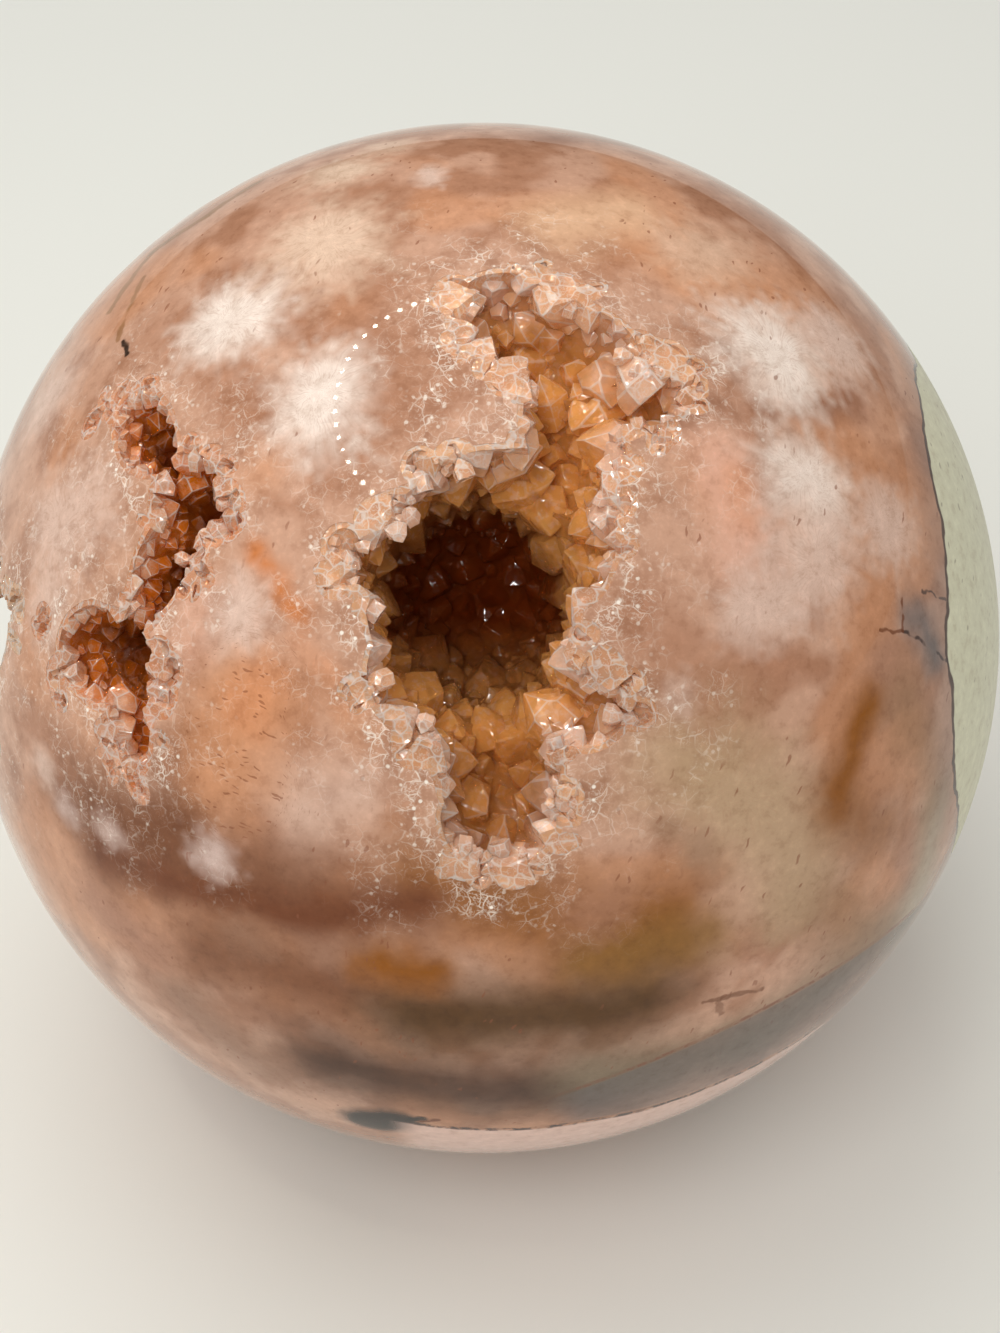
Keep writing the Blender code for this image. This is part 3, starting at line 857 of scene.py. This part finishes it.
def agate_pattern(g):
    """Colour and roughness of the polished stone: its painted clouds, and the finer markings in them."""
    spot = g.place()
    axes = g.axes(spot)
    colour = g.colour_attribute("tint")
    quartz = g.attribute("quartz")
    grain = g.noise(spot, 0.9, 3.0, 0.7)
    flow = g.noise(spot, 1.4, 2.0, output="Color")
    shift = g.vector("SUBTRACT", flow, (0.5, 0.5, 0.5))
    shaken = g.vector("ADD", spot, g.scaled(shift, 0.9))

    # Fibres that run out through the blooms
    ray = g.node("ShaderNodeAttribute", attribute_name="bloom_ray").outputs["Vector"]
    fibre = g.noise(ray, 0.06, 2.0, 0.7)
    fibres = g.math("MULTIPLY", g.step(fibre, 0.52, 0.36), g.attribute("bloom"))
    colour = g.mix(g.math("MULTIPLY", fibres, 0.3), colour, ROSE_TAUPE)

    # Quartz round the hollows: cells with white cracks between and squiggles within them
    cell_shade = g.axes(g.cells(shaken, 0.85)["Color"])[0]
    colour = g.mix(g.math("MULTIPLY", quartz, g.math("MULTIPLY", cell_shade, 0.5)), colour, MAUVE)
    cracks = g.step(g.cells(shaken, 0.85, "DISTANCE_TO_EDGE")["Distance"], 0.06, 0.0)
    ridges = g.math("ABSOLUTE", g.math("SUBTRACT", g.noise(shaken, 0.32, 2.0), 0.5))
    squiggles = g.step(ridges, g.math("ADD", 0.02, g.math("MULTIPLY", quartz, 0.05)), 0.0)
    broken = g.step(grain, 0.38, 0.56)
    lit = g.math("MAXIMUM", cracks, g.math("MULTIPLY", squiggles, 0.6))
    lit = g.math("MULTIPLY", g.math("MULTIPLY", lit, broken), quartz)
    colour = g.mix(g.clamp(g.math("MULTIPLY", lit, 0.7)), colour, FROST)

    # Painted glints: small white flecks in the quartz standing in for sparkle; and short dark needles: laid over in
    # the peach, upright elsewhere
    painted_glint_cells = g.cells(spot, 0.34)
    painted_glint = g.math("GREATER_THAN", g.axes(painted_glint_cells["Color"])[0], 0.88)
    painted_glint = g.math("MULTIPLY", painted_glint, g.step(painted_glint_cells["Distance"], 0.45, 0.2))
    colour = g.mix(g.math("MULTIPLY", painted_glint, quartz), colour, FROST)
    peach = g.attribute("peach")
    stretch = g.mix(peach, (3.4, 0.8, 2.0, 1), (0.75, 4.6, 3.2, 1))
    turned = g.node("ShaderNodeMapping", {"Vector": shaken, "Rotation": (0, 0, NEEDLE_TURN)}).outputs["Vector"]
    needles = g.cells(g.vector("MULTIPLY", turned, stretch), 1.0)
    rare = g.math("SUBTRACT", 0.9, g.math("MULTIPLY", peach, 0.3))
    needle = g.math("GREATER_THAN", g.axes(needles["Color"])[1], rare)
    needle = g.math("MULTIPLY", needle, g.step(needles["Distance"], 0.34, 0.2))
    colour = g.mix(g.math("MULTIPLY", g.math("MULTIPLY", needle, g.attribute("needles")), 0.6), colour, NEEDLE)

    for start, end, width, hue, strength in LINES.values():
        weight = line_weight(g, shaken, start, end, width)
        colour = g.mix(g.math("MULTIPLY", weight, strength), colour, hue)

    # The right vein with its celadon rind
    wavy = g.math("MULTIPLY", g.math("SUBTRACT", g.noise(spot, 5.0, 3.0), 0.5), 1.6)
    beyond = g.math("SUBTRACT", g.vector("DOT_PRODUCT", spot, RIGHT_VEIN_NORMAL), RIGHT_VEIN_DISTANCE)
    beyond = g.math("ADD", beyond, wavy)
    colour = g.mix(g.math("MULTIPLY", g.step(beyond, -2.2, 0.0), 0.35), colour, BLUE_GREY)
    speck = g.math("GREATER_THAN", g.axes(needles["Color"])[2], 0.86)
    speck = g.math("MULTIPLY", speck, g.step(needles["Distance"], 0.34, 0.16))
    rind_hue = g.mix(g.math("MULTIPLY", speck, 0.6), CELADON, STONE_GREY)
    in_rind = g.step(beyond, 0.0, 0.12)
    colour = g.mix(in_rind, colour, rind_hue)
    line = g.step(g.math("ABSOLUTE", beyond), VEIN_WIDTH, VEIN_WIDTH * 0.4)
    colour = g.mix(g.math("MULTIPLY", line, 0.9), colour, DARK_VEIN)

    # The foot vein with its pink rind, and the thin red vein above it
    from_middle = g.math("SUBTRACT", axes[0], 1.0)
    curve = g.math("MULTIPLY", g.math("MULTIPLY", from_middle, from_middle), FOOT_VEIN_CURVE)
    above = g.math("SUBTRACT", g.math("SUBTRACT", axes[1], FOOT_VEIN_UP), curve)
    above = g.math("ADD", above, g.math("MULTIPLY", wavy, 0.3))
    front = g.math("MULTIPLY", g.step(axes[2], -4.0, 2.0), g.step(axes[0], -6.0, -3.5))
    colour = g.mix(g.math("MULTIPLY", g.step(above, 0.0, -0.15), front), colour, RIND_PINK)
    dashes = g.step(grain, 0.4, 0.6)
    line = g.step(g.math("ABSOLUTE", above), VEIN_WIDTH * 1.4, VEIN_WIDTH * 0.4)
    colour = g.mix(g.math("MULTIPLY", g.math("MULTIPLY", line, front), dashes), colour, DARK_VEIN)
    beside = g.math("SUBTRACT", g.vector("DOT_PRODUCT", spot, RED_VEIN_NORMAL), RED_VEIN_DISTANCE)
    red_front = g.math("MULTIPLY", g.step(axes[0], 3.0, 6.0), g.step(axes[2], 6.0, 9.0))
    between = g.math("MULTIPLY", g.step(beside, 0.0, 0.3), g.step(above, 0.0, 0.3))
    colour = g.mix(g.math("MULTIPLY", g.math("MULTIPLY", between, red_front), 0.6), colour, BLUE_GREY)
    line = g.step(g.math("ABSOLUTE", beside), VEIN_WIDTH * 1.5, VEIN_WIDTH * 0.3)
    red_line = g.math("MULTIPLY", g.math("MULTIPLY", line, red_front), g.math("ADD", 0.3, dashes))
    colour = g.mix(g.clamp(g.math("MULTIPLY", red_line, 0.6)), colour, RED_VEIN)

    # Fine grain in the colour of the whole stone
    darker = g.math("MULTIPLY", g.step(grain, 0.5, 0.3), 0.35)
    colour = g.mix(darker, colour, g.vector("MULTIPLY", colour, (0.62, 0.52, 0.45)))
    lighter = g.math("MULTIPLY", g.step(grain, 0.5, 0.7), 0.35)
    colour = g.mix(lighter, colour, g.vector("MULTIPLY", colour, (1.3, 1.32, 1.35)))
    roughness = g.math("ADD", 0.03, g.math("MULTIPLY", quartz, 0.02))
    roughness = g.math("ADD", roughness, g.math("MULTIPLY", in_rind, 0.35))
    return colour, roughness


def agate_material():
    g = Nodes("polished_agate")
    colour, roughness = agate_pattern(g)
    g.feed(g.shader.inputs["Base Color"], colour)
    g.feed(g.shader.inputs["Roughness"], roughness)
    g.shader.inputs["IOR"].default_value = STONE_IOR
    g.shader.inputs["Specular IOR Level"].default_value = 0.22
    return g.material


def wall_material():
    """The stone behind a crust, seen only through its crystals."""
    g = Nodes("hollow_wall")
    spot = g.place()
    colour = g.mix(g.step(g.noise(spot, 1.5), 0.4, 0.6), paint(206, 140, 74), paint(240, 196, 138))
    g.feed(g.shader.inputs["Base Color"], colour)
    g.shader.inputs["Roughness"].default_value = 0.7
    return g.material


def crystal_material(name, pale, mid, deep_tint_and_shade, absorbed, density, tinted, deep_tint_and_shade_depths):
    """Clear to cloudy quartz: frosty where it's cut or worn at the ball's surface, and darker deeper in the hollow
    by its own tint with painted shade.
    """
    g = Nodes(name)
    spot = g.place()
    cloud = g.noise(spot, 2.2, 2.0)
    fine = g.noise(spot, 0.4, 2.0, 0.7)
    sink = g.math("SUBTRACT", BALL_RADIUS, g.vector("LENGTH", spot))
    wavy = g.math("ADD", sink, g.math("MULTIPLY", g.math("SUBTRACT", cloud, 0.5), 2.4))
    shade = g.attribute("shade")
    colour = g.mix(g.step(wavy, *tinted), pale, mid)
    colour = g.mix(g.math("MULTIPLY", g.step(shade, 0.7, 0.1), 0.5), colour, mid)
    colour = g.mix(g.math("MULTIPLY", g.step(fine, 0.5, 0.66), 0.4), colour, pale)

    # Cut quartz at the ball's surface: cells of differing shade, outlined white, with fine flaws across them
    cut = g.step(sink, 1.0, 0.1)
    jolt = g.vector("SUBTRACT", g.noise(spot, 0.7, 1.0, output="Color"), (0.5, 0.5, 0.5))
    shaken = g.vector("ADD", spot, g.scaled(jolt, 0.5))
    flakes = g.cells(shaken, 0.8)
    flake = g.axes(flakes["Color"])[0]
    colour = g.mix(g.math("MULTIPLY", g.math("MULTIPLY", cut, flake), 0.6), colour, QUARTZ_SHADE)
    outline = g.step(g.cells(shaken, 0.8, "DISTANCE_TO_EDGE")["Distance"], 0.09, 0.0)
    colour = g.mix(g.math("MULTIPLY", g.math("MULTIPLY", outline, cut), 0.8), colour, WHITE)
    flaws = g.step(g.math("ABSOLUTE", g.math("SUBTRACT", fine, 0.5)), 0.05, 0.0)
    colour = g.mix(g.math("MULTIPLY", g.math("MULTIPLY", flaws, g.step(sink, 2.5, 0.0)), 0.5), colour, WHITE)
    # Edges painted white: partly frost, partly painted highlight standing in for glints on the crystals' edges
    edge = g.math("MULTIPLY", g.attribute("edge"), g.step(sink, 6.0, 1.0))
    colour = g.mix(g.math("MULTIPLY", edge, 0.7), colour, WHITE)

    # Darker colour: painted shade with some dirt in the crevices between crystals, stain in clouds, darker towards
    # the lower end of the hollows, and further down the quartz's own dark tint with painted shade
    # Painted shade with some dirt: the crevices between crystals darkened where occlusion falls
    crevice_shade_and_dirt = g.math("MULTIPLY", g.step(shade, 0.05, 0.0), g.step(sink, 0.5, 1.6))
    colour = g.mix(g.math("MULTIPLY", crevice_shade_and_dirt, 0.4), colour, CREVICE_AND_LOW_BROWN)
    clouds = g.math("MULTIPLY", g.step(wavy, 1.0, 4.0), g.step(cloud, 0.55, 0.7))
    colour = g.mix(g.math("MULTIPLY", clouds, 0.4), colour, deep_tint_and_shade)
    low = g.math("MULTIPLY", g.step(g.axes(spot)[1], -3.5, -8.0), g.step(sink, 0.4, 2.0))
    colour = g.mix(g.math("MULTIPLY", low, 0.45), colour, CREVICE_AND_LOW_BROWN)
    # Painted shade with the quartz's own dark tint: the dark colour takes over further down, less towards the lower
    # end
    lit = g.math("ADD", 0.35, g.math("MULTIPLY", g.step(g.axes(spot)[1], -5.0, 1.5), 0.65))
    colour = g.mix(g.math("MULTIPLY", g.step(wavy, *deep_tint_and_shade_depths), lit), colour, deep_tint_and_shade)
    g.feed(g.shader.inputs["Base Color"], colour)
    g.feed(g.shader.inputs["Roughness"], g.math("ADD", 0.04, g.math("MULTIPLY", fine, 0.16)))
    g.feed(g.shader.inputs["Normal"], g.bump(flakes["Distance"], 0.55, 0.22))
    g.shader.inputs["IOR"].default_value = CRYSTAL_IOR
    g.shader.inputs["Transmission Weight"].default_value = 0.6
    volume = g.node("ShaderNodeVolumeAbsorption")
    volume.inputs["Color"].default_value = absorbed
    volume.inputs["Density"].default_value = density
    g.tree.links.new(volume.outputs["Volume"], g.output.inputs["Volume"])
    return g.material


def floor_material():
    g = Nodes("pale_floor")
    spot = g.place()
    colour = g.mix(g.noise(spot, 60.0), (0.85, 0.85, 0.80, 1), (0.87, 0.87, 0.82, 1))
    g.feed(g.shader.inputs["Base Color"], colour)
    g.shader.inputs["Roughness"].default_value = 0.9
    return g.material


def place_camera():
    """The camera at the photograph's angle, framed so the ball falls where the photograph has it."""
    half_angle = math.asin(BALL_RADIUS / CAMERA_DISTANCE)
    focal_pixels = PHOTO_BALL_RADIUS / math.tan(half_angle)
    millimetres = CAMERA_DISTANCE / focal_pixels
    aim_right = (PHOTO_SIZE[0] / 2 - PHOTO_BALL_CENTRE[0]) * millimetres
    aim_up = (PHOTO_BALL_CENTRE[1] - PHOTO_SIZE[1] / 2) * millimetres
    aim = CENTRE + SHOW_FACE @ Vector((aim_right, aim_up, 0))
    place = CENTRE + FORWARD_UP * CAMERA_DISTANCE
    camera = link(bpy.data.objects.new("camera", bpy.data.cameras.new("camera")))
    camera.location = place * MM
    camera.rotation_euler = (aim - place).to_track_quat("-Z", "Y").to_euler()
    camera.data.sensor_width = SENSOR
    camera.data.lens = SENSOR * focal_pixels / PHOTO_SIZE[1]
    camera.data.clip_start = 0.005
    bpy.context.scene.camera = camera


def add_lamp(name, place, size, power, colour=(1, 1, 1)):
    """A round soft light, aimed at the ball."""
    lamp = link(bpy.data.objects.new(name, bpy.data.lights.new(name, "AREA")))
    lamp.data.shape = "DISK"
    lamp.data.size = size * MM
    lamp.data.energy = power
    lamp.data.color = colour
    lamp.location = Vector(place) * MM
    lamp.rotation_euler = ((CENTRE - Vector(place)) * MM).to_track_quat("-Z", "Y").to_euler()
    return lamp


RING_CENTRE = (-26, -12, 256)
RING_RADII = (86.0, 103.0)
RING_LAMPS = 52
RING_LIT = (6, 40)
RING_LAMP_SIZE = 3.2
RING_LAMP_POWER = 0.0030


# Small lights that only the crystal crusts take, to bring out their faces: place, size and power
GLINT_LAMPS = {
    "glint_back": ((-170, 130, 330), 46, 0.42),
    "glint_right": ((170, -40, 330), 40, 0.20),
    "glint_front": ((-60, -330, 300), 40, 0.20),
}


def light_scene():
    world = bpy.data.worlds.new("world")
    world.use_nodes = True
    background = world.node_tree.nodes["Background"]
    background.inputs["Color"].default_value = (1.0, 1.0, 0.98, 1)
    background.inputs["Strength"].default_value = 0.55
    bpy.context.scene.world = world
    world.cycles_visibility.glossy = False
    soft = add_lamp("soft_light", (-120, 60, 420), 360, 0.38)
    soft.visible_glossy = False
    fill = add_lamp("fill_light", (-90, -270, 330), 220, 0.5)
    fill.visible_glossy = False
    crust_lit = bpy.data.collections.new("crust_lit")
    for name, (place, size, power) in GLINT_LAMPS.items():
        lamp = add_lamp(name, place, size, power)
        lamp.light_linking.receiver_collection = crust_lit
    for k in range(*RING_LIT):
        angle = math.tau * k / RING_LAMPS
        around = Vector((math.cos(angle) * RING_RADII[0], math.sin(angle) * RING_RADII[1], 0))
        add_lamp(f"ring_light_{k}", Vector(RING_CENTRE) + around, RING_LAMP_SIZE, RING_LAMP_POWER, (1, 0.95, 0.8))


def build_floor():
    reach = 2.0
    corners = [(-reach, -reach, 0), (reach, -reach, 0), (reach, reach, 0), (-reach, reach, 0)]
    floor = mesh_object("floor", corners, [(0, 1, 2, 3)])
    floor.data.materials.append(floor_material())


def build_stone(hollows):
    stone = ball_object("agate_stone", BALL_RADIUS)
    for _, _, face, lobes, rounds, _, _ in hollows:
        combine(stone, hollow_solid("hollow", face, lobes, rounds, 0.0), "DIFFERENCE")
    directions, faces = unit_sphere(LOBE_FREQUENCY)
    for label, chip in CHIPS.items():
        middle, axes = lobe_frame(SHOW_FACE, chip)
        points = np.array(middle) + (directions * np.array(chip[2:5])) @ np.array(axes).T
        combine(stone, mesh_object(label, points, faces), "DIFFERENCE")
    finish_mesh(stone, BALL_RADIUS, [agate_material(), wall_material()])
    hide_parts("agate_sphere")
    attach(stone, "root")


def build_crusts(hollows):
    chance = random.Random(GROWTH_SEED)
    shapes = [crystal_shape(chance) for _ in range(CRYSTAL_SHAPES)]
    for name, node, face, lobes, rounds, sizes, quartz in hollows:
        crust = crust_object(name, face, lobes, rounds, sizes, shapes, chance)
        finish_mesh(crust, BALL_RADIUS - CRUST_RECESS, [quartz])
        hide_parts(node)
        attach(crust, "root")
        bpy.data.collections["crust_lit"].objects.link(crust)


def list_hollows():
    """Each hollow: its crust's name, the node it stands for, its shape, its crystals' sizes and its quartz."""
    chance = random.Random(POCKET_SEED)
    honey = crystal_material(
        "honey_quartz", paint(255, 216, 190), paint(255, 184, 100), paint(118, 50, 14), (0.98, 0.86, 0.64, 1), 70, (0.8, 3.8), (5.6, 11.0)
    )
    amber = crystal_material(
        "amber_quartz", paint(255, 216, 184), paint(246, 136, 30), paint(96, 32, 0), (0.98, 0.78, 0.4, 1), 100, (0.0, 1.5), (1.8, 4.2)
    )
    brown = crystal_material(
        "brown_quartz", paint(250, 220, 186), paint(236, 176, 112), paint(130, 70, 34), (0.96, 0.82, 0.6, 1), 130, (0.8, 3.8), (5.6, 9.0)
    )
    return (
        (
            "main_hollow_druse", "main_hollow_crystals", SHOW_FACE, MAIN_HOLLOW,
            spread_pockets(SHOW_FACE, MAIN_HOLLOW, MAIN_POCKETS, chance), MAIN_SIZES, honey,
        ),
        (
            "left_hollow_druse", "left_hollow_crystals", SHOW_FACE, LEFT_HOLLOW,
            spread_pockets(SHOW_FACE, LEFT_HOLLOW, LEFT_POCKETS, chance), SMALL_SIZES, amber,
        ),
        (
            "side_hollow_druse", "side_hollow_crystals", LEFT_FACE, SIDE_HOLLOW,
            spread_pockets(LEFT_FACE, SIDE_HOLLOW, SIDE_POCKETS, chance), SIDE_SIZES, brown,
        ),
    )


bpy.context.scene.view_settings.view_transform = "Standard"
place_camera()
light_scene()
build_floor()
hollows = list_hollows()
build_stone(hollows)
build_crusts(hollows)
